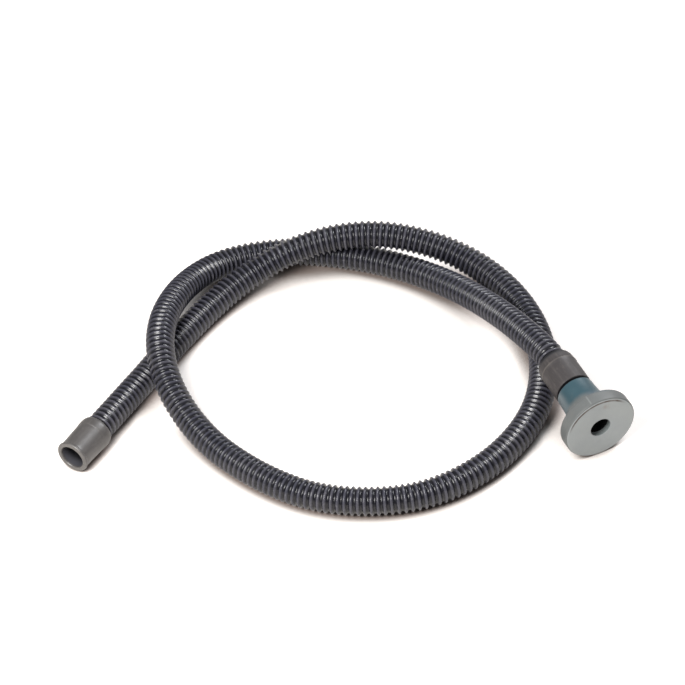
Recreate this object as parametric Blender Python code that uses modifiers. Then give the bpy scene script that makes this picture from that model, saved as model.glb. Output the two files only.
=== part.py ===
"""Fill hose: a corrugated drain and fill hose with a tapered outlet cuff on one end
and, on the other, a plain cuff that holds a flanged push-on tap adaptor.

The hose lies in one open loop that crosses itself three times.  The outlet cuff
rests on its two ridges, and the adaptor on the rim of its flange.

Units are metres, +Z is up and the floor is z = 0.
"""
import math

import bpy
from mathutils import Matrix, Vector
from mathutils.geometry import interpolate_bezier

# Driving dimensions
FIT = 0.0003                # clearance between any two pieces that push together

HOSE_OD = 0.0250            # over the ribs
INSERT = 0.0140             # how far the hose goes into each cuff
STOP_WIDTH = 0.0020         # inner ring of a cuff that the hose pushes up against

# Outlet cuff, measured along its axis from the end that takes the hose
OUTLET_LENGTH = 0.0388
OUTLET_WALL_AT_HOSE = 0.0006
OUTLET_SHOULDER_D = 0.0302
OUTLET_SHOULDER_RUN = 0.0050    # length of the rounded shoulder
OUTLET_BAND_END = 0.0095        # where the shoulder's plain band stops
OUTLET_STEP = 0.0004            # depth and run of the faint step after the band
OUTLET_WAIST_D = 0.0283         # thinnest place, just behind the lip
OUTLET_WAIST_BACK = 0.0042      # how far behind the mouth that place is
OUTLET_LIP_D = 0.03026
OUTLET_LIP_ROUND = 0.0016
OUTLET_BORE_D = 0.0212
OUTLET_STOP_D = 0.0192

# Tap cuff, measured the same way
TAP_LENGTH = 0.0370
TAP_WALL_AT_HOSE = 0.0006
TAP_CONE_RUN = 0.0112
TAP_BODY_D = 0.0330
TAP_MOUTH_ROUND = 0.0008
TAP_BORE_D = 0.0226
TAP_STOP_D = 0.0200

# Tap adaptor, measured from the collar that meets the tap cuff's mouth
ADAPTOR_LENGTH = 0.0480         # collar to front face
SPIGOT_GAP = 0.0010             # between the spigot's tip and the tap cuff's stop ring
SPIGOT_CHAMFER = 0.0008
SPIGOT_BORE_D = 0.0150
COLLAR_D = 0.0270               # the collar leaves an open groove before the neck
COLLAR_WIDTH = 0.0024
NECK_D = 0.0334
NECK_ROUND = 0.0005
NECK_BEND_D = 0.0342            # the flare's curve handle towards the neck
NECK_BEND = 0.0150              # and how far behind the flange it lies
FLARE_BEND_D = 0.0380           # the flare's curve handle towards the flange
FLARE_BEND = 0.0030
FLARE_D = 0.0590                # width of the flared neck where the flange begins
FLANGE_D = 0.06454
FLANGE_THICKNESS = 0.0130
FLANGE_ROUND = 0.0020
TAP_HOLE_D = 0.0185
TAP_HOLE_DEPTH = 0.0320
TAP_HOLE_ROUND = 0.0008
FACE_GROOVE_D = 0.0610          # shallow groove just inside the face's rounded edge
FACE_GROOVE_WIDTH = 0.0006
FACE_GROOVE_DEPTH = 0.0004

# Where the hose enters each cuff: plan position, and the way the cuff points
OUTLET_END = (-0.2089, -0.0393)
OUTLET_HEADING = -127.0
TAP_END = (0.1844, -0.0508)
TAP_END_HEIGHT = 0.0391         # this end rides up over the strand below it
TAP_HEADING = -69.7

# Route of the hose between the cuffs, chosen by hand.  The third value is how far
# the hose is lifted off the floor, where it climbs over another of its strands.
ROUTE = [
    (-0.1640, 0.0245, 0.0000),
    (-0.1260, 0.0770, 0.0000),
    (-0.0930, 0.1125, 0.0025),
    (-0.0625, 0.1330, 0.0085),
    (-0.0265, 0.1440, 0.0185),
    (0.0155, 0.1475, 0.0250),
    (0.0560, 0.1440, 0.0245),
    (0.0970, 0.1320, 0.0170),
    (0.1275, 0.1145, 0.0085),
    (0.1510, 0.0880, 0.0030),
    (0.1685, 0.0515, 0.0005),
    (0.1775, 0.0085, 0.0000),
    (0.1760, -0.0360, 0.0000),
    (0.1645, -0.0770, 0.0000),
    (0.1430, -0.1120, 0.0000),
    (0.1135, -0.1400, 0.0000),
    (0.0780, -0.1590, 0.0000),
    (0.0430, -0.1660, 0.0000),
    (0.0025, -0.1620, 0.0000),
    (-0.0350, -0.1480, 0.0000),
    (-0.0710, -0.1210, 0.0000),
    (-0.1045, -0.0835, 0.0000),
    (-0.1290, -0.0445, 0.0050),
    (-0.1440, -0.0085, 0.0160),
    (-0.1490, 0.0270, 0.0245),
    (-0.1450, 0.0635, 0.0255),
    (-0.1315, 0.1025, 0.0195),
    (-0.1115, 0.1360, 0.0100),
    (-0.0895, 0.1555, 0.0040),
    (-0.0625, 0.1650, 0.0010),
    (-0.0280, 0.1650, 0.0000),
    (0.0165, 0.1525, 0.0000),
    (0.0610, 0.1305, 0.0000),
    (0.0960, 0.1025, 0.0025),
    (0.1255, 0.0650, 0.0100),
    (0.1550, 0.0130, 0.0210),
]
STRAIGHT = 0.0100           # the hose runs straight this far before it enters a cuff
STATIONS_PER_STRETCH = 2

CUFF_STEPS = 40
ADAPTOR_STEPS = 48


# Scene and materials
def clear_scene():
    for obj in list(bpy.data.objects):
        bpy.data.objects.remove(obj, do_unlink=True)


def make_collection(name):
    collection = bpy.data.collections.new(name)
    bpy.context.scene.collection.children.link(collection)
    return collection


def make_material(name, color, roughness):
    """A plain moulded plastic or rubber with a linear base colour."""
    material = bpy.data.materials.new(name)
    material.use_nodes = True
    shader = material.node_tree.nodes["Principled BSDF"]
    shader.inputs["Base Color"].default_value = (*color, 1.0)
    shader.inputs["Roughness"].default_value = roughness
    shader.inputs["Metallic"].default_value = 0.0
    material.diffuse_color = (*color, 1.0)
    return material


# Profile helpers
def arc(center, radius, start, end, count):
    """Points (r, z) on an arc; angles in degrees, 0 along +r and 90 along +z."""
    points = []
    for i in range(count):
        angle = math.radians(start + (end - start) * i / (count - 1))
        points.append((center[0] + radius * math.cos(angle),
                       center[1] + radius * math.sin(angle)))
    return points


def shoulder(outer_r, end_r, run, count):
    """A convex arc that leaves radius outer_r at z = run and reaches end_r at z = 0."""
    drop = outer_r - end_r
    radius = (drop * drop + run * run) / (2.0 * drop)
    sweep = math.degrees(math.asin(run / radius))
    return arc((outer_r - radius, run), radius, 0.0, -sweep, count)


def flare(start, start_handle, end_handle, end, count):
    """A smooth curve between two profile points, drawn with two handles."""
    knots = [Vector((r, z, 0.0)) for r, z in (start, start_handle, end_handle, end)]
    return [(p.x, p.y) for p in interpolate_bezier(*knots, count)]


def revolve(name, profile, steps, material, collection):
    """Spin a closed (r, z) profile about local Z into one solid piece."""
    mesh = bpy.data.meshes.new(name)
    count = len(profile)
    mesh.from_pydata([(r, 0.0, z) for r, z in profile],
                     [(i, (i + 1) % count) for i in range(count)], [])
    obj = bpy.data.objects.new(name, mesh)
    obj.data.materials.append(material)
    collection.objects.link(obj)
    screw = obj.modifiers.new("Spin", "SCREW")
    screw.axis = "Z"
    screw.angle = 2.0 * math.pi
    screw.steps = steps
    screw.render_steps = steps
    screw.use_merge_vertices = True
    screw.merge_threshold = 0.00001
    screw.use_smooth_shade = False
    return obj


def place(obj, origin, axis):
    """Put a turned piece at origin with its local Z along axis and local X level."""
    z = axis.normalized()
    x = z.cross(Vector((0.0, 0.0, 1.0))).normalized()
    y = z.cross(x)
    obj.rotation_euler = Matrix((x, y, z)).transposed().to_euler()
    obj.location = origin


# Where the cuffs lie
def heading(degrees):
    angle = math.radians(degrees)
    return Vector((math.cos(angle), math.sin(angle), 0.0))


def outlet_frame():
    """The outlet cuff lies level, resting on its lip."""
    origin = Vector((*OUTLET_END, OUTLET_LIP_D / 2))
    return origin, heading(OUTLET_HEADING)


def adaptor_offset():
    """Distance from the tap cuff's hose end to the adaptor's collar."""
    return TAP_LENGTH + FIT


def spigot_length():
    """The spigot fills the tap cuff's bore, up to its gap before the stop ring."""
    bore_start = INSERT + FIT + STOP_WIDTH + (TAP_BORE_D - TAP_STOP_D) / 2
    return adaptor_offset() - bore_start - SPIGOT_GAP


def tap_frame():
    """The tap end slopes down until the rim of the adaptor's flange rests on the floor."""
    origin = Vector((*TAP_END, TAP_END_HEIGHT))
    reach = adaptor_offset() + ADAPTOR_LENGTH - FLANGE_ROUND
    drop = FLANGE_D / 2 - FLANGE_ROUND
    slope = (math.atan2(reach, drop)
             - math.acos((TAP_END_HEIGHT - FLANGE_ROUND) / math.hypot(reach, drop)))
    axis = heading(TAP_HEADING) * math.cos(slope) - Vector((0.0, 0.0, math.sin(slope)))
    return origin, axis


# The hose
def spline_point(p0, p1, p2, p3, share):
    """A point between p1 and p2 on a centripetal Catmull-Rom curve."""
    t1 = math.sqrt((p1 - p0).length)
    t2 = t1 + math.sqrt((p2 - p1).length)
    t3 = t2 + math.sqrt((p3 - p2).length)
    t = t1 + (t2 - t1) * share
    a1 = p0.lerp(p1, t / t1)
    a2 = p1.lerp(p2, (t - t1) / (t2 - t1))
    a3 = p2.lerp(p3, (t - t2) / (t3 - t2))
    b1 = a1.lerp(a2, t / t2)
    b2 = a2.lerp(a3, (t - t1) / (t3 - t1))
    return b1.lerp(b2, (t - t1) / (t2 - t1))


def hose_line():
    """The hose's centre line, from its end in the outlet cuff to its end in the tap cuff."""
    outlet, outlet_axis = outlet_frame()
    tap, tap_axis = tap_frame()
    knots = [outlet + outlet_axis * INSERT, outlet, outlet - outlet_axis * STRAIGHT]
    knots += [Vector((x, y, HOSE_OD / 2 + lift)) for x, y, lift in ROUTE]
    knots += [tap - tap_axis * STRAIGHT, tap, tap + tap_axis * INSERT]

    padded = [2 * knots[0] - knots[1]] + knots + [2 * knots[-1] - knots[-2]]
    line = []
    for p0, p1, p2, p3 in zip(padded, padded[1:], padded[2:], padded[3:]):
        for i in range(STATIONS_PER_STRETCH):
            point = spline_point(p0, p1, p2, p3, i / STATIONS_PER_STRETCH)
            point.z = max(point.z, HOSE_OD / 2)
            line.append(point)
    return line + [knots[-1]]


def build_hose(collection):
    """One plain tube along the route; its ribs are a matter of finish."""
    line = hose_line()
    curve = bpy.data.curves.new("hose", "CURVE")
    curve.dimensions = "3D"
    curve.twist_mode = "Z_UP"
    curve.bevel_depth = HOSE_OD / 2
    curve.bevel_resolution = 4
    curve.use_fill_caps = True
    spline = curve.splines.new("POLY")
    spline.points.add(len(line) - 1)
    for target, point in zip(spline.points, line):
        target.co = (*point, 1.0)
    curve.materials.append(make_material("hose_plastic", (0.046, 0.046, 0.058), 0.42))
    obj = bpy.data.objects.new("hose", curve)
    collection.objects.link(obj)
    return obj


# The cuffs
def socket_profile(hose_end_wall, stop_d, bore_d):
    """Inside of a cuff, from the hose end inwards: socket, stop ring, start of the bore."""
    socket_r = HOSE_OD / 2 + FIT
    stop_start = INSERT + FIT
    return [
        (socket_r + hose_end_wall / 3, 0.0),
        (socket_r, hose_end_wall),
        (socket_r, stop_start),
        (stop_d / 2, stop_start),
        (stop_d / 2, stop_start + STOP_WIDTH),
        (bore_d / 2, stop_start + STOP_WIDTH + (bore_d - stop_d) / 2),
    ]


def build_outlet_cuff(collection):
    """Rubber cuff: rounded shoulder, plain band, long taper, rounded lip."""
    end_r = HOSE_OD / 2 + FIT + OUTLET_WALL_AT_HOSE
    lip_r = OUTLET_LIP_D / 2
    band_r = OUTLET_SHOULDER_D / 2
    bore_r = OUTLET_BORE_D / 2
    lip_center = (lip_r - OUTLET_LIP_ROUND, OUTLET_LENGTH - OUTLET_LIP_ROUND)
    mouth_round = (lip_center[0] - bore_r) / 2

    profile = arc(lip_center, OUTLET_LIP_ROUND, 90.0, -60.0, 9)
    profile.append((OUTLET_WAIST_D / 2, OUTLET_LENGTH - OUTLET_WAIST_BACK))
    profile.append((band_r - OUTLET_STEP, OUTLET_BAND_END + OUTLET_STEP))
    profile.append((band_r, OUTLET_BAND_END))
    profile += shoulder(band_r, end_r, OUTLET_SHOULDER_RUN, 6)
    profile += socket_profile(OUTLET_WALL_AT_HOSE, OUTLET_STOP_D, OUTLET_BORE_D)
    profile += arc((bore_r + mouth_round, OUTLET_LENGTH - mouth_round),
                   mouth_round, 180.0, 90.0, 4)

    material = make_material("grey_rubber", (0.175, 0.162, 0.153), 0.55)
    cuff = revolve("outlet_cuff", profile, CUFF_STEPS, material, collection)
    place(cuff, *outlet_frame())
    return cuff


def build_tap_cuff(collection):
    """Rubber cuff: a cone that rises from the hose to a ridge, then a straight body."""
    end_r = HOSE_OD / 2 + FIT + TAP_WALL_AT_HOSE
    body_r = TAP_BODY_D / 2
    bore_r = TAP_BORE_D / 2
    edge_center = (body_r - TAP_MOUTH_ROUND, TAP_LENGTH - TAP_MOUTH_ROUND)

    profile = arc(edge_center, TAP_MOUTH_ROUND, 90.0, 0.0, 4)
    profile.append((body_r, TAP_CONE_RUN + TAP_MOUTH_ROUND))
    profile.append((body_r - TAP_MOUTH_ROUND / 4, TAP_CONE_RUN))
    profile.append((end_r, 0.0))
    profile += socket_profile(TAP_WALL_AT_HOSE, TAP_STOP_D, TAP_BORE_D)
    profile.append((bore_r, TAP_LENGTH - TAP_MOUTH_ROUND))
    profile.append((bore_r + TAP_MOUTH_ROUND, TAP_LENGTH))

    material = make_material("dark_rubber", (0.122, 0.112, 0.112), 0.50)
    cuff = revolve("tap_cuff", profile, CUFF_STEPS, material, collection)
    place(cuff, *tap_frame())
    return cuff


# The tap adaptor
def adaptor_outside():
    """From the face's edge over the flange, down the flared neck and into the groove."""
    rim_r = FLANGE_D / 2
    back_z = ADAPTOR_LENGTH - FLANGE_THICKNESS
    front = (rim_r - FLANGE_ROUND, ADAPTOR_LENGTH - FLANGE_ROUND)
    back = (rim_r - FLANGE_ROUND, back_z + FLANGE_ROUND)
    neck_end = (NECK_D / 2 - NECK_ROUND, COLLAR_WIDTH + NECK_ROUND)
    profile = arc(front, FLANGE_ROUND, 80.0, 0.0, 5)
    profile += arc(back, FLANGE_ROUND, 0.0, -60.0, 4)
    profile += flare((FLARE_D / 2, back_z),
                     (FLARE_BEND_D / 2, back_z - FLARE_BEND),
                     (NECK_BEND_D / 2, back_z - NECK_BEND),
                     (NECK_D / 2, COLLAR_WIDTH + 2 * NECK_ROUND), 11)
    profile += arc(neck_end, NECK_ROUND, 0.0, -90.0, 3)
    profile.append((COLLAR_D / 2, COLLAR_WIDTH))
    profile.append((COLLAR_D / 2, 0.0))
    return profile


def adaptor_inside():
    """From the tip of the spigot through the narrow bore to the rounded tap hole."""
    spigot_r = TAP_BORE_D / 2 - FIT
    bore_r = SPIGOT_BORE_D / 2
    hole_r = TAP_HOLE_D / 2
    hole_bottom = ADAPTOR_LENGTH - TAP_HOLE_DEPTH
    tip = -spigot_length()
    profile = [
        (spigot_r, 0.0),
        (spigot_r, tip + SPIGOT_CHAMFER),
        (spigot_r - SPIGOT_CHAMFER, tip),
        (bore_r, tip),
        (bore_r, hole_bottom),
        (hole_r, hole_bottom),
    ]
    profile += arc((hole_r + TAP_HOLE_ROUND, ADAPTOR_LENGTH - TAP_HOLE_ROUND),
                   TAP_HOLE_ROUND, 180.0, 90.0, 4)
    return profile


def face_groove():
    """A shallow groove near the rim, from its inner wall to its outer wall."""
    inner_r = FACE_GROOVE_D / 2 - FACE_GROOVE_WIDTH
    bottom = ADAPTOR_LENGTH - FACE_GROOVE_DEPTH
    return [
        (inner_r, ADAPTOR_LENGTH),
        (inner_r + FACE_GROOVE_WIDTH / 3, bottom),
        (inner_r + FACE_GROOVE_WIDTH, bottom),
    ]


def build_tap_adaptor(collection):
    """One moulding: spigot, collar, flared neck, thick flange and a stepped tap hole."""
    profile = adaptor_outside() + adaptor_inside() + face_groove()
    material = make_material("adaptor_plastic", (0.17, 0.22, 0.225), 0.45)
    adaptor = revolve("tap_adaptor", profile, ADAPTOR_STEPS, material, collection)
    origin, axis = tap_frame()
    place(adaptor, origin + axis * adaptor_offset(), axis)
    return adaptor


def main():
    clear_scene()
    collection = make_collection("fill_hose")
    build_hose(collection)
    build_outlet_cuff(collection)
    build_tap_cuff(collection)
    build_tap_adaptor(collection)


main()
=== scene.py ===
# %% [markdown]
# # A ribbed fill hose
#
# The object is a washing machine's fill hose: about 1.66 m of corrugated plastic
# tube, a grey rubber cuff that is open on one end, and on the other end a rubber
# cuff that holds a flanged adaptor for a tap. It lies on a table in one loose loop.
#
# The shapes that carry and fit each other are already modelled in the frame that
# this script loads. Here each of them gets the surface that the real one has: the
# hose gets its ribs, the cuffs their soft moulded edges, and every piece its finish.

# %% Load the frame
import math

import bmesh
import bpy
from mathutils import Matrix, Vector
from mathutils.geometry import interpolate_bezier


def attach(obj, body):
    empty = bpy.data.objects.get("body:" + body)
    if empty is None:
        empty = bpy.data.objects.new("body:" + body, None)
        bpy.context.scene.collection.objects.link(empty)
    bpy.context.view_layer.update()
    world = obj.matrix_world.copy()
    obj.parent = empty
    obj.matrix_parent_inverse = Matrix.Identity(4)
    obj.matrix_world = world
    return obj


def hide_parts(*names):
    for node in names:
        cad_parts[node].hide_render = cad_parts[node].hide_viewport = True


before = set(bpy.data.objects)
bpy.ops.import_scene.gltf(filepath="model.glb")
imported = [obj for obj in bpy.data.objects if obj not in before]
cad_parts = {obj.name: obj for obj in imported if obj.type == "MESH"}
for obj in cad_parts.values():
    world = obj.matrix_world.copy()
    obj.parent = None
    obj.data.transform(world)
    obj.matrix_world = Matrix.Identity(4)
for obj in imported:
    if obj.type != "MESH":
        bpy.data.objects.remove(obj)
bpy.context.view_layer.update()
MM = 0.001


def deselect_all():
    """Every operator acts on what is selected, so each step starts with nothing."""
    bpy.ops.object.select_all(action="DESELECT")


deselect_all()

# %% [markdown]
# ## The camera
#
# A product photo like this one is taken with a long lens from a few metres away, so
# that the round loop isn't distorted. The camera looks down at about forty degrees.
# It is built from three directions: back points from the subject to the camera, and
# the other two are the picture's right and up, turned a little by the roll.

# %% Camera
CAMERA_ELEVATION = math.radians(42.0)
CAMERA_ROLL = math.radians(-7.0)
CAMERA_DISTANCE = 3.333
SENSOR_WIDTH = 36.0             # millimetres, the width of a full film frame
CAMERA_TARGET = Vector((0.0083, 0.0498, 0.0))
PICTURE_WIDTH = 0.6007          # width of what the picture shows at the target


def make_camera():
    camera = bpy.data.cameras.new("camera")
    camera.sensor_width = SENSOR_WIDTH
    camera.lens = SENSOR_WIDTH * CAMERA_DISTANCE / PICTURE_WIDTH
    obj = bpy.data.objects.new("camera", camera)
    bpy.context.scene.collection.objects.link(obj)
    back = Vector((0.0, -math.cos(CAMERA_ELEVATION), math.sin(CAMERA_ELEVATION)))
    level = Matrix((Vector((1, 0, 0)), back.cross(Vector((1, 0, 0))), back)).transposed()
    turned = level @ Matrix.Rotation(CAMERA_ROLL, 3, "Z")
    obj.matrix_world = Matrix.Translation(CAMERA_TARGET + back * CAMERA_DISTANCE) @ turned.to_4x4()
    bpy.context.scene.camera = obj
    return obj


camera = make_camera()
print("lens", round(camera.data.lens, 1), "mm")

# %% [markdown]
# ## The route of the hose
#
# A hose has a fixed length, so its route is settled before its shape. The list is
# the same one that the CAD model uses: places in plan, and how far the hose is
# lifted where it climbs over another of its strands. Both ends run straight into
# their cuffs, along the two axes that are worked out below.

# %% Route
HOSE_RADIUS = 12.5 * MM
INSERT = 14.0 * MM              # how far the hose goes into each cuff
STRAIGHT = 10.0 * MM            # and how far it runs straight before that

OUTLET_END = Vector((-0.2089, -0.0393, 0.01513))
OUTLET_HEADING = math.radians(-127.0)
TAP_END = Vector((0.1844, -0.0508, 0.0391))
TAP_HEADING = math.radians(-69.7)
TAP_SLOPE = math.radians(4.7757)

ROUTE = [
    (-0.1640, 0.0245, 0.0000),
    (-0.1260, 0.0770, 0.0000),
    (-0.0930, 0.1125, 0.0025),
    (-0.0625, 0.1330, 0.0085),
    (-0.0265, 0.1440, 0.0185),
    (0.0155, 0.1475, 0.0250),
    (0.0560, 0.1440, 0.0245),
    (0.0970, 0.1320, 0.0170),
    (0.1275, 0.1145, 0.0085),
    (0.1510, 0.0880, 0.0030),
    (0.1685, 0.0515, 0.0005),
    (0.1775, 0.0085, 0.0000),
    (0.1760, -0.0360, 0.0000),
    (0.1645, -0.0770, 0.0000),
    (0.1430, -0.1120, 0.0000),
    (0.1135, -0.1400, 0.0000),
    (0.0780, -0.1590, 0.0000),
    (0.0430, -0.1660, 0.0000),
    (0.0025, -0.1620, 0.0000),
    (-0.0350, -0.1480, 0.0000),
    (-0.0710, -0.1210, 0.0000),
    (-0.1045, -0.0835, 0.0000),
    (-0.1290, -0.0445, 0.0050),
    (-0.1440, -0.0085, 0.0160),
    (-0.1490, 0.0270, 0.0245),
    (-0.1450, 0.0635, 0.0255),
    (-0.1315, 0.1025, 0.0195),
    (-0.1115, 0.1360, 0.0100),
    (-0.0895, 0.1555, 0.0040),
    (-0.0625, 0.1650, 0.0010),
    (-0.0280, 0.1650, 0.0000),
    (0.0165, 0.1525, 0.0000),
    (0.0610, 0.1305, 0.0000),
    (0.0960, 0.1025, 0.0025),
    (0.1255, 0.0650, 0.0100),
    (0.1550, 0.0130, 0.0210),
]

outlet_axis = Vector((math.cos(OUTLET_HEADING), math.sin(OUTLET_HEADING), 0.0))
tap_axis = Vector((math.cos(TAP_HEADING) * math.cos(TAP_SLOPE),
                   math.sin(TAP_HEADING) * math.cos(TAP_SLOPE),
                   -math.sin(TAP_SLOPE)))
print("route:", len(ROUTE), "places between the two cuffs")

# %% [markdown]
# A Catmull-Rom curve runs smoothly through all of these places. The centripetal kind
# is used, because it can't make small loops where the points lie close together.

# %% Smooth curve
POINTS_PER_STRETCH = 24


def spline_point(p0, p1, p2, p3, share):
    """A point between p1 and p2 on a centripetal Catmull-Rom curve."""
    t1 = math.sqrt((p1 - p0).length)
    t2 = t1 + math.sqrt((p2 - p1).length)
    t3 = t2 + math.sqrt((p3 - p2).length)
    t = t1 + (t2 - t1) * share
    a1 = p0.lerp(p1, t / t1)
    a2 = p1.lerp(p2, (t - t1) / (t2 - t1))
    a3 = p2.lerp(p3, (t - t2) / (t3 - t2))
    b1 = a1.lerp(a2, t / t2)
    b2 = a2.lerp(a3, (t - t1) / (t3 - t1))
    return b1.lerp(b2, (t - t1) / (t2 - t1))


def hose_line():
    knots = [OUTLET_END + outlet_axis * INSERT, OUTLET_END, OUTLET_END - outlet_axis * STRAIGHT]
    knots += [Vector((x, y, HOSE_RADIUS + lift)) for x, y, lift in ROUTE]
    knots += [TAP_END - tap_axis * STRAIGHT, TAP_END, TAP_END + tap_axis * INSERT]
    padded = [2 * knots[0] - knots[1]] + knots + [2 * knots[-1] - knots[-2]]
    line = []
    for p0, p1, p2, p3 in zip(padded, padded[1:], padded[2:], padded[3:]):
        for i in range(POINTS_PER_STRETCH):
            point = spline_point(p0, p1, p2, p3, i / POINTS_PER_STRETCH)
            point.z = max(point.z, HOSE_RADIUS)
            line.append(point)
    return line + [knots[-1]]


line_points = hose_line()
print("curve:", len(line_points), "points")

# %% [markdown]
# The ribs have to stand at even distances along the hose, so the curve is wrapped in
# a small class that answers one question: where is the hose after so many metres?

# %% Line by length
class Line:
    """A polyline that can be asked for its place and direction at any length."""

    def __init__(self, points):
        self.points = points
        self.reach = [0.0]
        for a, b in zip(points, points[1:]):
            self.reach.append(self.reach[-1] + (b - a).length)
        self.length = self.reach[-1]
        self.hint = 0

    def at(self, distance):
        distance = min(max(distance, 0.0), self.length)
        if self.reach[self.hint] > distance:
            self.hint = 0
        while self.hint < len(self.reach) - 2 and self.reach[self.hint + 1] < distance:
            self.hint += 1
        i = self.hint
        share = (distance - self.reach[i]) / (self.reach[i + 1] - self.reach[i])
        return self.points[i].lerp(self.points[i + 1], share)

    def direction(self, distance, span=0.002):
        return (self.at(distance + span) - self.at(distance - span)).normalized()


line = Line(line_points)
print("hose length", round(line.length, 4), "m")

# %% [markdown]
# ## The ribbed hose
#
# Corrugated hose is blown into a mould, so its wall waves in and out: rounded crests
# with slightly broader valleys between them, every 5.4 mm. A bump map would leave the
# outline smooth, and the outline is where the ribs show best, so they are real
# geometry here. The radius along the hose comes from a cosine that is raised to a
# power, which narrows the crests.

# %% Rib wave
USUAL_PITCH = 5.4 * MM
FIRST_VALLEY = INSERT + 1.3 * MM    # a valley shows just outside each cuff
RIBS = round((line.length - 2.0 * FIRST_VALLEY) / USUAL_PITCH)
RIB_PITCH = (line.length - 2.0 * FIRST_VALLEY) / RIBS
RIB_HEIGHT = 2.2 * MM
CREST_SHARPNESS = 1.25


def rib_count(distance):
    """How many ribs have passed; it is a whole number on a crest."""
    return (distance - FIRST_VALLEY) / RIB_PITCH + 0.5


def rib_radius(distance):
    wave = 0.5 + 0.5 * math.cos(2.0 * math.pi * rib_count(distance))
    return HOSE_RADIUS - RIB_HEIGHT * (1.0 - wave ** CREST_SHARPNESS)


print("ribs:", RIBS, "at", round(RIB_PITCH / MM, 2), "mm")

# %% [markdown]
# Rings of points follow the line, each with the radius of its place on the wave, and
# neighbouring rings are joined with quads. A second, smooth tube with its faces
# turned inwards is the bore. Bridging the two at both ends closes the wall.

# %% Ribbed tube
RINGS_PER_RIB = 8
SIDES = 38
BORE_RADIUS = 9.2 * MM
BORE_SPACING = 11.0 * MM
BORE_SIDES = 20


def ring(bm, distance, radius, sides):
    centre, along = line.at(distance), line.direction(distance)
    side = along.cross(Vector((0.0, 0.0, 1.0))).normalized()
    up = side.cross(along)
    verts = []
    for i in range(sides):
        angle = 2.0 * math.pi * i / sides
        verts.append(bm.verts.new(centre + radius * (math.cos(angle) * side + math.sin(angle) * up)))
    return verts


def skin(bm, rings, uv, vs, flip=False):
    """Join each ring to the next with quads; U goes round and V counts the ribs."""
    for (a, b), (va, vb) in zip(zip(rings, rings[1:]), zip(vs, vs[1:])):
        count = len(a)
        for i in range(count):
            j = (i + 1) % count
            quad = [(a[i], i, va), (a[j], i + 1, va), (b[j], i + 1, vb), (b[i], i, vb)]
            if flip:
                quad.reverse()
            face = bm.faces.new([corner[0] for corner in quad])
            face.smooth = True
            for loop, (_, u, v) in zip(face.loops, quad):
                loop[uv].uv = (u / count, v)


def make_hose():
    bm = bmesh.new()
    uv = bm.loops.layers.uv.new("along")
    step = RIB_PITCH / RINGS_PER_RIB
    hidden = int(FIRST_VALLEY / step)
    stations = [FIRST_VALLEY + i * step for i in range(-hidden, RIBS * RINGS_PER_RIB + hidden + 1)]
    outer = [ring(bm, s, rib_radius(s), SIDES) for s in stations]
    skin(bm, outer, uv, [rib_count(s) for s in stations])
    count = round(line.length / BORE_SPACING)
    depths = [i * line.length / count for i in range(count + 1)]
    inner = [ring(bm, s, BORE_RADIUS, BORE_SIDES) for s in depths]
    skin(bm, inner, uv, [rib_count(s) for s in depths], flip=True)
    for a, b in ((outer[0], inner[0]), (outer[-1], inner[-1])):
        edges = [bm.edges.get((r[i], r[(i + 1) % len(r)])) for r in (a, b) for i in range(len(r))]
        bmesh.ops.bridge_loops(bm, edges=edges)
    bmesh.ops.recalc_face_normals(bm, faces=bm.faces)
    mesh = bpy.data.meshes.new("ribbed_hose")
    bm.to_mesh(mesh)
    bm.free()
    obj = bpy.data.objects.new("ribbed_hose", mesh)
    bpy.context.scene.collection.objects.link(obj)
    print("hose:", len(mesh.polygons), "faces")
    return obj


hose = make_hose()
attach(hose, "root")
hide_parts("hose")
[line.at(i * line.length / 400) for i in range(401)]

# %% [markdown]
# ## Turning a piece
#
# The two cuffs and the adaptor are all turned shapes. Stacked cylinders with bevels
# would come close, but a lip and a flare are free curves, and an outline that is spun
# about the axis gives them as they are. Each piece starts as a single point, which is
# extruded along its outline: a list of (radius, height) pairs in millimetres, whose
# round corners come from arc and whose freer bends come from curve.

# %% Outlines
TURN_STEPS = 96
WELD_DISTANCE = 0.01 * MM


def arc(center, radius, start, end, count):
    """Points (r, z) on an arc; angles in degrees, 0 along +r and 90 along +z."""
    angles = [math.radians(start + (end - start) * i / (count - 1)) for i in range(count)]
    return [(center[0] + radius * math.cos(a), center[1] + radius * math.sin(a)) for a in angles]


def curve(start, start_handle, end_handle, end, count):
    """Points on a curve between two outline points, drawn with two handles."""
    knots = [Vector((r, z, 0.0)) for r, z in (start, start_handle, end_handle, end)]
    return [(p.x, p.y) for p in interpolate_bezier(*knots, count)]


def draw_outline(outline):
    """Shrink a new plane to one point, and extrude that point along the outline."""
    bpy.ops.mesh.primitive_plane_add(size=MM)
    bpy.ops.object.mode_set(mode="EDIT")
    bpy.ops.mesh.merge(type="CENTER")
    points = [Vector((r, 0.0, z)) * MM for r, z in outline]
    bpy.ops.transform.translate(value=points[0])
    for a, b in zip(points, points[1:]):
        bpy.ops.mesh.extrude_region_move(TRANSFORM_OT_translate={"value": b - a})


def spin_outline():
    """Close the outline, take it once round the Z axis and weld the seam."""
    bpy.ops.mesh.select_all(action="SELECT")
    bpy.ops.mesh.spin(steps=TURN_STEPS, angle=2.0 * math.pi, center=(0, 0, 0), axis=(0, 0, 1))
    bpy.ops.mesh.select_all(action="SELECT")
    bpy.ops.mesh.remove_doubles(threshold=WELD_DISTANCE)
    bpy.ops.mesh.normals_make_consistent(inside=False)
    bpy.ops.object.mode_set(mode="OBJECT")


# %% [markdown]
# After the spin the piece gets its texture coordinates while it still stands upright
# at the origin, where they are simple. One layer holds the share of a turn and the
# height, the other the radius and the height, both in centimetres. Then the piece is
# laid down in its place and takes over from its CAD node.

# %% Turned pieces
CM = 10.0 * MM
SMOOTH_ANGLE = math.radians(38.0)


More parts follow.
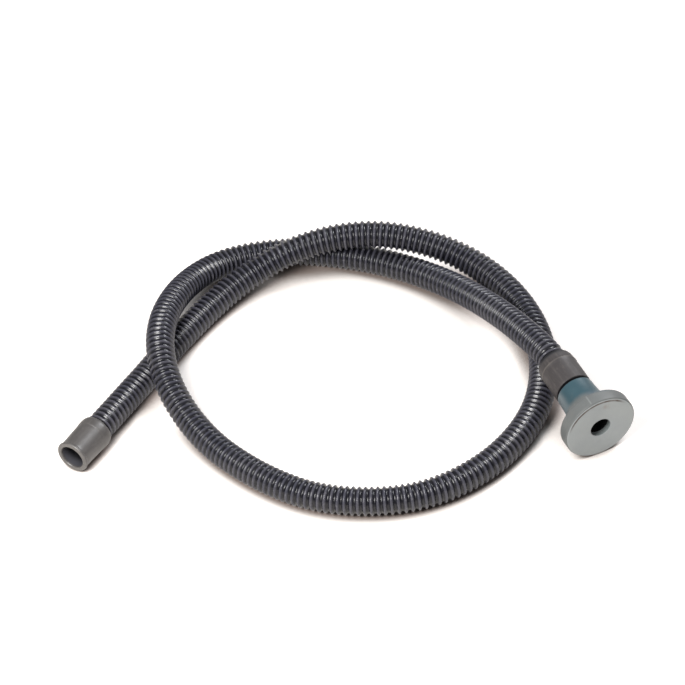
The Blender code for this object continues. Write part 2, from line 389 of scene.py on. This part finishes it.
def wrap(mesh):
    """Texture coordinates of an upright turned piece: turns, radius and height in cm."""
    uv = mesh.uv_layers.new(name="turned")
    section = mesh.uv_layers.new(name="section")
    for face in mesh.polygons:
        turns = []
        for index in face.vertices:
            x, y, _ = mesh.vertices[index].co
            turns.append(math.atan2(y, x) / (2.0 * math.pi) % 1.0)
        crosses = max(turns) - min(turns) > 0.5
        for loop, index, turn in zip(face.loop_indices, face.vertices, turns):
            x, y, z = mesh.vertices[index].co / CM
            uv.data[loop].uv = (turn + 1.0 if crosses and turn < 0.5 else turn, z)
            section.data[loop].uv = (math.hypot(x, y), z)


def lay_down(mesh, origin, axis):
    """Turn the upright piece so that its Z runs along axis and its X stays level."""
    x = axis.cross(Vector((0.0, 0.0, 1.0))).normalized()
    y = axis.cross(x)
    mesh.transform(Matrix.Translation(origin) @ Matrix((x, y, axis)).transposed().to_4x4())


def turned(name, outline, origin, axis, node, slot):
    deselect_all()
    draw_outline(outline + outline[:1])
    spin_outline()
    piece = bpy.context.object
    piece.name = piece.data.name = name
    wrap(piece.data)
    lay_down(piece.data, origin, axis)
    bpy.ops.object.shade_smooth_by_angle(angle=SMOOTH_ANGLE)
    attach(piece, "root")
    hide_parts(node)
    print(name, len(piece.data.polygons), "faces")
    return piece


# %% [markdown]
# ## The outlet cuff
#
# Heights are measured from the end that takes the hose. The wall ends in a soft lip,
# thins just behind it, and widens again towards a plain band. A faint step, where
# the mould's two halves meet, separates the taper from that band.

# %% Outlet cuff
SOCKET_R = 12.8                 # millimetres, as in all the outlines
SOCKET_CHAMFER = 0.7
CUFF_EDGE_R = 13.5
CUFF_EDGE_ROUND = 0.35
STOP_START = 14.3
STOP_END = 16.3

OUTLET_LENGTH = 38.8
OUTLET_BAND_R = 15.1
OUTLET_BAND_END = 9.5
OUTLET_BAND_STEP = 0.3
OUTLET_WAIST_R, OUTLET_WAIST_AT = 14.15, 34.6
OUTLET_SHOULDER = ((OUTLET_BAND_R, 5.2), (OUTLET_BAND_R, 2.6), (14.5, 0.9), (CUFF_EDGE_R + 0.25, 0.15))
OUTLET_LIP_R = 15.13
OUTLET_LIP_ROUND = 1.6
OUTLET_BORE_R = 10.6
OUTLET_STOP_R = 9.6
MOUTH_WIDENS = 0.9              # the bore opens by this much within MOUTH_DEPTH
MOUTH_DEPTH = 3.0


def socket(stop_r, bore_r):
    """Inside of a cuff, from the hose end to the start of the bore."""
    return [(CUFF_EDGE_R - CUFF_EDGE_ROUND, 0.0), (SOCKET_R + 0.05, SOCKET_CHAMFER), (SOCKET_R, STOP_START),
            (stop_r, STOP_START), (stop_r, STOP_END), (bore_r, STOP_END + bore_r - stop_r)]


def outlet_outline():
    lip = (OUTLET_LIP_R - OUTLET_LIP_ROUND, OUTLET_LENGTH - OUTLET_LIP_ROUND)
    outline = arc(lip, OUTLET_LIP_ROUND, 90.0, -48.0, 14)
    outline += curve(outline[-1], (OUTLET_WAIST_R, OUTLET_WAIST_AT + 1.2), (OUTLET_WAIST_R, OUTLET_WAIST_AT),
                     (OUTLET_WAIST_R + 0.08, OUTLET_WAIST_AT - 3.0), 6)[1:]
    foot = OUTLET_BAND_R - OUTLET_BAND_STEP
    outline += [(foot, OUTLET_BAND_END + 0.7)]
    outline += curve((foot, OUTLET_BAND_END + 0.5), (foot + 0.1, OUTLET_BAND_END + 0.3),
                     (OUTLET_BAND_R, OUTLET_BAND_END + 0.2), (OUTLET_BAND_R, OUTLET_BAND_END - 0.3), 5)
    outline += curve(*OUTLET_SHOULDER, 10) + [(CUFF_EDGE_R, 0.0)]
    outline += socket(OUTLET_STOP_R, OUTLET_BORE_R)
    mouth, edge = OUTLET_LENGTH - MOUTH_DEPTH, OUTLET_BORE_R + MOUTH_WIDENS
    return outline + curve((OUTLET_BORE_R, mouth), (OUTLET_BORE_R, mouth + 1.6),
                           (edge - 0.5, OUTLET_LENGTH - 0.3), (edge, OUTLET_LENGTH), 8)


outlet_cuff = turned("moulded_outlet_cuff", outlet_outline(), OUTLET_END, outlet_axis,
                     "outlet_cuff", "grey_rubber")

# %% [markdown]
# ## The tap cuff
#
# This one is plainer: a round shoulder that rises from the hose, a thin ridge where
# the shoulder's collar ends, and a straight body that holds the adaptor.

# %% Tap cuff
TAP_LENGTH = 37.0
TAP_CONE_RUN = 11.2
TAP_BODY_R = 16.5
TAP_RIDGE_R = 16.85
TAP_SHOULDER = ((TAP_RIDGE_R - 0.45, 8.4), (16.3, 5.6), (15.9, 2.0), (CUFF_EDGE_R + 0.2, 0.2))
TAP_MOUTH_ROUND = 0.9
TAP_MOUTH_CHAMFER = 0.6
TAP_BORE_R = 11.3
TAP_STOP_R = 10.0


def tap_cuff_outline():
    edge = (TAP_BODY_R - TAP_MOUTH_ROUND, TAP_LENGTH - TAP_MOUTH_ROUND)
    outline = arc(edge, TAP_MOUTH_ROUND, 90.0, 0.0, 8)
    outline += curve((TAP_BODY_R, TAP_CONE_RUN + 4.0), (TAP_BODY_R, TAP_CONE_RUN + 2.0),
                     (TAP_RIDGE_R - 0.1, TAP_CONE_RUN + 1.6), (TAP_RIDGE_R, TAP_CONE_RUN + 0.7), 6)
    outline += curve((TAP_RIDGE_R, TAP_CONE_RUN + 0.3), (TAP_RIDGE_R, TAP_CONE_RUN),
                     (TAP_RIDGE_R - 0.2, TAP_CONE_RUN - 0.5), (TAP_RIDGE_R - 0.35, TAP_CONE_RUN - 1.6), 6)
    outline += curve(*TAP_SHOULDER, 9) + [(CUFF_EDGE_R, 0.0)]
    outline += socket(TAP_STOP_R, TAP_BORE_R)
    return outline + [(TAP_BORE_R, TAP_LENGTH - TAP_MOUTH_CHAMFER),
                      (TAP_BORE_R + TAP_MOUTH_CHAMFER, TAP_LENGTH)]


tap_cuff = turned("moulded_tap_cuff", tap_cuff_outline(), TAP_END, tap_axis, "tap_cuff", "dark_rubber")

# %% [markdown]
# ## The tap adaptor
#
# One moulding. Its spigot sits in the cuff, a narrow collar leaves a dark groove
# between the two, and the neck flares out to a thick flange. Heights are measured
# from the collar. The hole in the face is lit for its first few millimetres, and a
# small undercut behind that hides the light, as the hollow of the real one does.

# %% Tap adaptor
FIT = 0.3
ADAPTOR_LENGTH = 48.0
COLLAR_R, COLLAR_WIDTH = 13.5, 2.4
NECK_R, NECK_ROUND = 16.7, 0.5
FLARE_R = 29.0
FLANGE_R = 32.27
FLANGE_BACK = 35.0
FLANGE_ROUND = 1.8
BACK_ROUND = 3.0
HOLE_R, HOLE_ROUND = 9.25, 0.3
HOLE_LIT = 5.0                  # depth of the part of the hole that light reaches
UNDERCUT = 0.5
HOLE_BOTTOM = 16.0
SPIGOT_R, SPIGOT_TIP, SPIGOT_BORE_R = 11.0, -18.7, 7.5
SPIGOT_CHAMFER = 0.8
NECK_CURVE = ((19.0, FLANGE_BACK - 3.0), (17.1, FLANGE_BACK - 15.0))


def adaptor_outline():
    front = (FLANGE_R - FLANGE_ROUND, ADAPTOR_LENGTH - FLANGE_ROUND)
    back = (FLANGE_R - BACK_ROUND, FLANGE_BACK + BACK_ROUND)
    outline = arc(front, FLANGE_ROUND, 90.0, 0.0, 12)
    outline += arc(back, BACK_ROUND, 0.0, -64.0, 10)
    outline += curve((FLARE_R, FLANGE_BACK), *NECK_CURVE, (NECK_R, COLLAR_WIDTH + 0.6), 26)
    outline += arc((NECK_R - NECK_ROUND, COLLAR_WIDTH + NECK_ROUND), NECK_ROUND, 0.0, -90.0, 5)
    outline += [(COLLAR_R, COLLAR_WIDTH), (COLLAR_R, 0.0), (SPIGOT_R, 0.0),
                (SPIGOT_R, SPIGOT_TIP + SPIGOT_CHAMFER), (SPIGOT_R - SPIGOT_CHAMFER, SPIGOT_TIP),
                (SPIGOT_BORE_R, SPIGOT_TIP), (SPIGOT_BORE_R, HOLE_BOTTOM), (HOLE_R, HOLE_BOTTOM),
                (HOLE_R + UNDERCUT, HOLE_BOTTOM + UNDERCUT)]
    lit = ADAPTOR_LENGTH - HOLE_LIT
    outline += [(HOLE_R + UNDERCUT, lit - 0.1), (HOLE_R, lit)]
    return outline + arc((HOLE_R + HOLE_ROUND, ADAPTOR_LENGTH - HOLE_ROUND), HOLE_ROUND, 180.0, 90.0, 6)


adaptor = turned("moulded_tap_adaptor", adaptor_outline(), TAP_END + tap_axis * (TAP_LENGTH + FIT) * MM,
                 tap_axis, "tap_adaptor", "adaptor_plastic")

# %% [markdown]
# ## Writing materials
#
# A material is a network of nodes, and most of what they do here repeats: read a
# texture coordinate, make noise, turn a value into a mask, and mix two colours. The
# small class below gives each of these one short call that returns an output, so
# that a material reads like a few lines of arithmetic.

# %% Shader helpers
NOISE_ROUGHNESS = 0.55


def srgb(r, g, b):
    """A picture's 0 to 255 colour as the linear values that shaders use."""
    return tuple(c / 12.92 if c <= 0.04045 else ((c + 0.055) / 1.055) ** 2.4
                 for c in (r / 255.0, g / 255.0, b / 255.0)) + (1.0,)


class Nodes:
    """Short ways to add nodes to a tree and to join them."""

    def __init__(self, tree):
        self.tree = tree

    def add(self, kind, inputs=None, **settings):
        """A node with its settings; an input is a value, or an output to link from."""
        node = self.tree.nodes.new(kind)
        for name, value in settings.items():
            setattr(node, name, value)
        for name, value in (inputs or {}).items():
            self.give(node.inputs[name], value)
        return node

    def give(self, socket, value):
        if isinstance(value, bpy.types.NodeSocket):
            self.tree.links.new(value, socket)
        else:
            socket.default_value = value

    def place(self):
        return self.add("ShaderNodeTexCoord").outputs["Object"]

    def math(self, operation, a, b=0.0):
        return self.add("ShaderNodeMath", {0: a, 1: b}, operation=operation).outputs[0]

    def noise(self, scale, detail=3.0, vector=None):
        node = self.add("ShaderNodeTexNoise", {"Vector": vector or self.place(), "Scale": scale,
                                               "Detail": detail, "Roughness": NOISE_ROUGHNESS})
        return node.outputs["Fac"]

    def ramp(self, value, low, high, start=0.0, end=1.0):
        """A value's way from low to high as a smooth mask from start to end."""
        node = self.add("ShaderNodeMapRange", {"Value": value, "From Min": low, "From Max": high,
                                               "To Min": start, "To Max": end},
                        interpolation_type="SMOOTHSTEP")
        return node.outputs["Result"]

    def band(self, value, middle, half_width, soft):
        """A mask that is 1 within half_width of the middle and fades out softly."""
        away = self.math("ABSOLUTE", self.math("SUBTRACT", value, middle))
        return self.ramp(away, half_width, half_width + soft, 1.0, 0.0)

    def mix(self, mask, a, b):
        return self.add("ShaderNodeMix", {0: mask, 6: a, 7: b}, data_type="RGBA").outputs[2]


print("a picture's middle grey of 128 is", round(srgb(128, 128, 128)[0], 3), "in a shader")

# %% [markdown]
# ## Effects that the materials share
#
# All moulded plastic and rubber has four things in common: its colour is slightly
# cloudy, it is scuffed or dusty in spots, its gloss comes in patches, and a fine
# grain lies over it. Each of them is a node group with named sockets, which is built
# once here and then placed in every material with values of its own.

# %% Shared effects
NOISE_SOCKETS = {"Place": "Vector", "Scale": "Float", "Detail": "Float"}
MASK_SOCKETS = {**NOISE_SOCKETS, "Low": "Float", "High": "Float"}


def make_effect(name, inputs, output, kind, result):
    """A node group that starts with noise; result makes its one output from that."""
    group = bpy.data.node_groups.new(name, "ShaderNodeTree")
    for label, socket in inputs.items():
        group.interface.new_socket(label, in_out="INPUT", socket_type="NodeSocket" + socket)
    group.interface.new_socket(output, in_out="OUTPUT", socket_type="NodeSocket" + kind)
    nodes = Nodes(group)
    given = nodes.add("NodeGroupInput").outputs
    noise = nodes.noise(given["Scale"], given["Detail"], given["Place"])
    nodes.add("NodeGroupOutput", {output: result(nodes, noise, given)})
    print("effect", name, "with", ", ".join(inputs))
    return group


def cloudy(nodes, noise, given):
    return nodes.mix(nodes.ramp(noise, given["Low"], given["High"]), given["Thin"], given["Thick"])


def scuffed(nodes, noise, given):
    spots = nodes.ramp(noise, given["Low"], given["High"], 0.0, given["Strength"])
    return nodes.mix(nodes.math("MULTIPLY", spots, given["Where"]), given["Color"], given["Scuffed"])


def patchy(nodes, noise, given):
    return nodes.ramp(noise, given["Low"], given["High"], given["Smoothest"], given["Roughest"])


def grainy(nodes, noise, given):
    return noise


CLOUDS = make_effect("clouds", {**MASK_SOCKETS, "Thin": "Color", "Thick": "Color"},
                     "Color", "Color", cloudy)
SCUFFS = make_effect("scuffs", {**MASK_SOCKETS, "Strength": "Float", "Where": "Float",
                                "Color": "Color", "Scuffed": "Color"}, "Color", "Color", scuffed)
PATCHES = make_effect("gloss patches", {**MASK_SOCKETS, "Smoothest": "Float", "Roughest": "Float"},
                      "Roughness", "Float", patchy)
GRAIN = make_effect("grain", NOISE_SOCKETS, "Height", "Float", grainy)

# %% [markdown]
# ## A new material
#
# Surface is a new material that knows all of these short ways and has its shader at
# hand. A shared effect is placed with one call, and each value in that call goes to
# the socket of the same name.

# %% Surface
class Surface(Nodes):
    """A new material, whose shader takes what the nodes make."""

    def __init__(self, name):
        self.material = bpy.data.materials.new(name)
        self.material.use_nodes = True
        super().__init__(self.material.node_tree)
        self.shader = self.tree.nodes["Principled BSDF"]

    def effect(self, group, **values):
        inputs = {label.capitalize(): value for label, value in values.items()}
        return self.add("ShaderNodeGroup", {"Place": self.place(), **inputs}, node_tree=group).outputs[0]

    def map_axes(self, layer):
        """The two coordinates of a UV layer, one by one."""
        split = self.add("ShaderNodeSeparateXYZ", {0: self.add("ShaderNodeUVMap", uv_map=layer).outputs[0]})
        return split.outputs["X"], split.outputs["Y"]

    def stretched(self, scale, detail, turn, per_turn, height, per_cm):
        """Noise that is drawn out round a turned piece or along it."""
        spread = {0: self.math("MULTIPLY", turn, per_turn), 1: self.math("MULTIPLY", height, per_cm)}
        return self.noise(scale, detail, self.add("ShaderNodeCombineXYZ", spread).outputs[0])

    def bump(self, height, distance, strength):
        node = self.add("ShaderNodeBump", {"Height": height, "Distance": distance, "Strength": strength})
        self.give(self.shader.inputs["Normal"], node.outputs["Normal"])

    def finish(self, color, roughness, piece):
        self.give(self.shader.inputs["Base Color"], color)
        self.give(self.shader.inputs["Roughness"], roughness)
        piece.data.materials.clear()
        piece.data.materials.append(self.material)
        print(self.material.name, "on", piece.name, "with", len(self.tree.nodes), "nodes")


# %% [markdown]
# ## The hose's plastic
#
# Dark slate plastic with a gloss that reaches into the valleys, so that a window
# shows twice on every rib: once on the crest and once in the valley beside it. V
# counts the ribs, so its cosine is 1 on a crest and -1 in a valley. The valleys are
# painted much darker than the crests, as painted shade. Crests are rubbed a little
# paler, the valleys hold a trace of dust, and the valley beside each cuff is painted
# black, as painted shade where the hose goes into the cuff. Slow noise keeps long
# stretches from looking all alike.

# %% Hose plastic
FIRST_GROOVE, LAST_GROOVE = 0.45, RIBS + 0.55       # counted in ribs, like V


def hose_plastic(piece):
    s = Surface("hose plastic")
    _, ribs = s.map_axes("along")
    wave = s.math("COSINE", s.math("MULTIPLY", ribs, 2.0 * math.pi))
    crest = s.ramp(wave, -0.5, 0.95)
    valley = s.ramp(wave, -1.0, -0.4, 1.0, 0.0)
    top = s.effect(CLOUDS, scale=26.0, detail=3.0, low=0.35, high=0.65,
                   thin=srgb(62, 62, 72), thick=srgb(74, 73, 81))
    # painted shade: away from the crests the colour is painted much darker
    color = s.mix(crest, srgb(16, 16, 23), top)
    color = s.effect(SCUFFS, scale=260.0, detail=4.0, low=0.55, high=0.72, strength=0.5,
                     where=crest, color=color, scuffed=srgb(112, 110, 114))
    color = s.effect(SCUFFS, scale=90.0, detail=3.0, low=0.5, high=0.8, strength=0.12,
                     where=valley, color=color, scuffed=srgb(96, 92, 90))
    # painted shade: the valley next to each cuff is painted black
    shade_at_cuffs = s.math("ADD", s.band(ribs, FIRST_GROOVE, 0.2, 0.15), s.band(ribs, LAST_GROOVE, 0.2, 0.15))
    color = s.mix(shade_at_cuffs, color, srgb(5, 5, 7))
    rough = s.effect(PATCHES, scale=180.0, detail=3.0, low=0.3, high=0.8, smoothest=0.22, roughest=0.38)
    s.give(s.shader.inputs["Specular IOR Level"], 0.5)
    s.bump(s.effect(GRAIN, scale=900.0, detail=2.0), distance=0.03 * MM, strength=0.5)
    s.finish(color, rough, piece)


hose_plastic(hose)

# %% [markdown]
# ## The cuffs' rubber
#
# Moulded rubber is satin, slightly cloudy, and has a fine grain. V is the height in
# centimetres, which places the painted shade inside the mouth and the paler edges. The
# faint streaks that the mould leaves run along the piece.

# %% Rubber
def rubber(name, piece, base, pale, dark, edges, bore_r, dark_from, roughest, sheen):
    """Rubber for one cuff, paler along some edges, with painted shade inside its bore.

    Edges are pairs of a height and a strength. The bore's painted shade starts at
    dark_from. Heights and radii are in centimetres.
    """
    s = Surface(name)
    turn, height = s.map_axes("turned")
    radius, _ = s.map_axes("section")
    color = s.effect(CLOUDS, scale=45.0, detail=4.0, low=0.32, high=0.68, thin=dark, thick=base)
    streaks = s.stretched(7.0, 2.0, turn, 6.0, height, 0.12)
    color = s.mix(s.ramp(streaks, 0.4, 0.8, 0.0, 0.12), color, pale)
    for middle, strength in edges:
        uneven = s.ramp(s.noise(60.0), 0.2, 0.6, 0.4 * strength, strength)
        color = s.mix(s.math("MULTIPLY", s.band(height, middle, 0.02, 0.09), uneven), color, pale)
    color = s.effect(SCUFFS, scale=220.0, detail=5.0, low=0.6, high=0.78, strength=0.22,
                     where=1.0, color=color, scuffed=pale)
    # painted shade: inside the bore the colour is painted grey, then black further in; on the tap cuff this
    # also covers the face of its mouth
    in_bore = s.ramp(radius, bore_r + 0.04, bore_r + 0.14, 1.0, 0.0)
    shaded = s.math("MULTIPLY", in_bore, s.ramp(height, dark_from, dark_from + 0.25, 1.0, 0.0))
    color = s.mix(shaded, color, srgb(70, 70, 76))
    deep_shade = s.math("MULTIPLY", in_bore, s.ramp(height, dark_from - 0.9, dark_from, 1.0, 0.0))
    color = s.mix(deep_shade, color, srgb(12, 12, 15))
    rough = s.effect(PATCHES, scale=70.0, detail=4.0, low=0.25, high=0.75,
                     smoothest=roughest - 0.15, roughest=roughest)
    s.give(s.shader.inputs["Specular IOR Level"], sheen)
    s.bump(s.effect(GRAIN, scale=1500.0, detail=3.0), distance=0.05 * MM, strength=0.5)
    s.finish(color, rough, piece)


rubber("grey rubber", outlet_cuff, base=srgb(79, 76, 75), pale=srgb(128, 124, 120), dark=srgb(68, 65, 64),
       edges=((OUTLET_BAND_END / 10.0, 0.04), (OUTLET_LENGTH / 10.0, 0.3)), bore_r=OUTLET_BORE_R / 10.0,
       dark_from=OUTLET_LENGTH / 10.0 - 0.3, roughest=0.52, sheen=0.9)
rubber("dark rubber", tap_cuff, base=srgb(62, 58, 58), pale=srgb(128, 121, 114), dark=srgb(58, 54, 55),
       edges=((TAP_CONE_RUN / 10.0 + 0.04, 0.35),), bore_r=TAP_BODY_R / 10.0 - 0.16,
       dark_from=TAP_LENGTH / 10.0 + 0.7, roughest=0.66, sheen=0.5)

# %% [markdown]
# ## The adaptor's plastic
#
# The moulding is one piece, but it isn't one colour: the neck is a deep teal, the
# flare turns it grey, and the face is the palest. A pale strip down one side of the
# neck is a painted reflection, and the groove is darkened as painted shade. All this
# could be painted by hand, but masks made from coordinates stay sharp close up and
# move with one number. The radius and the height place each of these zones, and the
# turn says where round the axis something lies.

# %% Zones of the adaptor
FACE_HEIGHT = ADAPTOR_LENGTH / 10.0     # centimetres, like all radii and heights here
GROOVE_HEIGHT = COLLAR_WIDTH / 10.0
BLUISH_TURN = 0.663             # where round the axis the rim is a little bluer


def zone_colors(s, turn, height, flare, on_face, in_hole):
    """The moulding's colours without their marks, from the groove up to the face, with a painted reflection
    on the neck and painted shade in the groove.
    """
    patches = {"scale": 34.0, "detail": 4.0, "low": 0.3, "high": 0.7}
    neck = s.effect(CLOUDS, thin=srgb(46, 70, 79), thick=srgb(56, 81, 90), **patches)
    # painted reflection: a pale strip down one side of the neck
    facing = s.math("FRACT", s.math("ADD", turn, 0.25))
    painted_reflection = s.math("MULTIPLY", s.ramp(facing, 0.13, 0.25), s.ramp(facing, 0.5, 0.4))
    neck = s.mix(s.math("MULTIPLY", painted_reflection, 0.9), neck, srgb(112, 120, 124))
    rim = s.effect(CLOUDS, thin=srgb(97, 100, 100), thick=srgb(106, 108, 107), **patches)
    bluish = s.math("MULTIPLY", s.band(turn, BLUISH_TURN, 0.04, 0.09), s.ramp(height, 3.9, 3.5))
    rim = s.mix(bluish, rim, srgb(78, 92, 101))
    face = s.effect(CLOUDS, thin=srgb(153, 158, 160), thick=srgb(161, 166, 166), **patches)
    color = s.mix(on_face, s.mix(flare, neck, rim), face)
    color = s.mix(in_hole, color, srgb(112, 118, 118))
    # painted shade: the groove is painted near black
    groove_shade = s.ramp(height, GROOVE_HEIGHT + 0.02, GROOVE_HEIGHT + 0.05, 1.0, 0.0)
    return s.mix(groove_shade, color, srgb(14, 14, 18))


# %% [markdown]
# A brown line runs along the face's upper edge, and years of use have left a faint
# stain below it. The mould has left a seam on two sides of the rim, which is a little
# paler and stands a little proud.

# %% Marks on the adaptor
SEAM_TURN = 0.788
STAIN_TURN, STAIN_RADIUS = 0.713, 2.35
BROWN_LINE_FROM, BROWN_LINE_TO = 0.60, 0.97
BROWN_LINE_RADIUS = 2.97


def seam_mask(s, turn, height):
    seams = s.math("ADD", s.band(turn, SEAM_TURN, 0.001, 0.004), s.band(turn, SEAM_TURN - 0.5, 0.001, 0.004))
    above, below = s.ramp(height, 3.4, 3.7), s.ramp(height, FACE_HEIGHT - 0.1, FACE_HEIGHT - 0.3)
    return s.math("MULTIPLY", seams, s.math("MULTIPLY", above, below))


def with_stains(s, color, turn, radius, on_face):
    """The brown line and the stain, both of them on the face alone."""
    along = s.band(turn, (BROWN_LINE_FROM + BROWN_LINE_TO) / 2.0, (BROWN_LINE_TO - BROWN_LINE_FROM) / 2.0 - 0.06, 0.06)
    uneven = s.ramp(s.noise(120.0, 3.0), 0.3, 0.6, 0.6, 1.0)
    brown_line = s.math("MULTIPLY", s.band(radius, BROWN_LINE_RADIUS, 0.06, 0.06), along)
    brown_line = s.math("MULTIPLY", s.math("MULTIPLY", brown_line, on_face), uneven)
    color = s.mix(brown_line, color, srgb(80, 69, 63))
    stain = s.math("MULTIPLY", s.band(turn, STAIN_TURN, 0.008, 0.03), s.band(radius, STAIN_RADIUS, 0.12, 0.3))
    uneven = s.ramp(s.noise(150.0, 4.0), 0.4, 0.65, 0.0, 0.5)
    stain = s.math("MULTIPLY", s.math("MULTIPLY", stain, on_face), uneven)
    return s.mix(stain, color, srgb(140, 124, 108))


# %% [markdown]
# Now the zones and their marks come together. Light doesn't reach far into the hole,
# so its wall is black below the first few millimetres, and the flare and the rim are
# duller than the neck.

# %% Adaptor plastic
HOLE_WALL_RADIUS = (HOLE_R + UNDERCUT) / 10.0 + 0.01
HOLE_BLACK_BELOW = FACE_HEIGHT - HOLE_LIT / 10.0 + 0.01


def adaptor_plastic(piece):
    s = Surface("adaptor plastic")
    turn, _ = s.map_axes("turned")
    turn = s.math("FRACT", turn)
    radius, height = s.map_axes("section")
    flare = s.ramp(height, 1.9, 2.7)
    on_face = s.ramp(height, FACE_HEIGHT - 0.05, FACE_HEIGHT - 0.01)
    in_hole = s.math("MULTIPLY", s.math("LESS_THAN", radius, HOLE_WALL_RADIUS),
                     s.math("SUBTRACT", 1.0, on_face))
    color = zone_colors(s, turn, height, flare, on_face, in_hole)
    seam = seam_mask(s, turn, height)
    color = s.mix(s.math("MULTIPLY", seam, 0.3), color, srgb(150, 154, 152))
    color = with_stains(s, color, turn, radius, on_face)
    color = s.effect(SCUFFS, scale=85.0, detail=5.0, low=0.58, high=0.78, strength=0.18,
                     where=1.0, color=color, scuffed=srgb(108, 104, 98))
    # painted shade: the hole's wall is painted black below its lit part
    hollow = s.math("MULTIPLY", in_hole, s.math("LESS_THAN", height, HOLE_BLACK_BELOW))
    color = s.mix(hollow, color, srgb(3, 3, 3))

    rough = s.effect(PATCHES, scale=60.0, detail=4.0, low=0.3, high=0.7, smoothest=0.34, roughest=0.46)
    rough = s.math("ADD", rough, s.math("MULTIPLY", flare, 0.14))
    rough = s.math("ADD", rough, s.math("MULTIPLY", hollow, 0.4))
    brushed = s.stretched(9.0, 3.0, turn, 60.0, height, 1.2)
    s.bump(s.math("SUBTRACT", brushed, s.math("MULTIPLY", seam, 2.0)), distance=0.05 * MM, strength=0.35)
    s.finish(color, rough, piece)


adaptor_plastic(adaptor)

# %% [markdown]
# ## The table
#
# The photo's background is pure white, and of its shadows only a narrow, warm brown
# edge beside the object is left. The floor therefore answers the camera with a paper
# so bright that it burns out wherever a window reaches it, and that turns brown only
# where something close by keeps the light off it. The object is still lit by an
# ordinary warm white surface under it.

# %% Floor
FLOOR_SIZE = 8.0
TABLE_COLOR = (0.82, 0.78, 0.74, 1.0)
PAPER_COLOR = (0.96, 0.90, 0.86, 1.0)
SHADE_COLOR = (0.25, 0.205, 0.185, 1.0)
SHADE_REACH = 32.0 * MM         # how near something has to be to shade the paper
SHADE_FULL, SHADE_NONE = 0.3, 0.7       # the open share of the sky at both ends
PAPER_GLOW = 0.3                # how much white the open paper adds by itself


def white_table():
    deselect_all()
    bpy.ops.mesh.primitive_plane_add(size=FLOOR_SIZE, location=(0.0, 0.0, 0.0))
    floor = bpy.context.object
    floor.name = "floor"
    s = Surface("white table")
    nearness = s.add("ShaderNodeAmbientOcclusion", {"Distance": SHADE_REACH}, samples=16)
    open_floor = s.ramp(nearness.outputs["AO"], SHADE_FULL, SHADE_NONE)
    paper = s.add("ShaderNodeBsdfDiffuse", {"Color": s.mix(open_floor, SHADE_COLOR, PAPER_COLOR)})
    lift = s.math("MULTIPLY", open_floor, PAPER_GLOW)
    glow = s.add("ShaderNodeEmission", {"Color": (1.0, 1.0, 1.0, 1.0), "Strength": lift})
    seen = s.add("ShaderNodeAddShader", {0: paper.outputs[0], 1: glow.outputs[0]})
    to_camera = s.add("ShaderNodeLightPath").outputs["Is Camera Ray"]
    choice = s.add("ShaderNodeMixShader", {0: to_camera, 1: s.shader.outputs[0], 2: seen.outputs[0]})
    s.give(s.tree.nodes["Material Output"].inputs["Surface"], choice.outputs[0])
    s.finish(TABLE_COLOR, 0.9, floor)
    deselect_all()


white_table()

# %% [markdown]
# ## Lights
#
# Each rib carries two rows of highlights, so the room has two windows: one in front
# on the left and one behind on the right. Both are softboxes whose directions were
# worked out from where the highlights sit round the hose. A white room fills in.

# %% Lights
FRONT_LIGHT = Vector((-0.36, -0.55, 0.75))
BACK_LIGHT = Vector((0.60, 0.385, 0.69))
LIGHT_DISTANCE = 1.3
ROOM_STRENGTH = 0.25


def softbox(name, direction, size, power, color):
    light = bpy.data.lights.new(name, "AREA")
    light.shape = "SQUARE"
    light.size = size
    light.energy = power
    light.color = color
    obj = bpy.data.objects.new(name, light)
    bpy.context.scene.collection.objects.link(obj)
    obj.location = direction.normalized() * LIGHT_DISTANCE
    obj.rotation_euler = (-direction).to_track_quat("-Z", "Y").to_euler()
    print(name, "of", power, "W at", [round(v, 2) for v in obj.location])


def white_room():
    world = bpy.data.worlds.new("white room")
    bpy.context.scene.world = world
    world.use_nodes = True
    background = world.node_tree.nodes["Background"]
    background.inputs["Color"].default_value = (1.0, 1.0, 1.0, 1.0)
    background.inputs["Strength"].default_value = ROOM_STRENGTH


softbox("front window", FRONT_LIGHT, size=0.52, power=20.5, color=(1.0, 0.99, 0.97))
softbox("back window", BACK_LIGHT, size=0.42, power=11.5, color=(0.95, 0.97, 1.0))
white_room()
bpy.context.scene.view_settings.view_transform = "Standard"
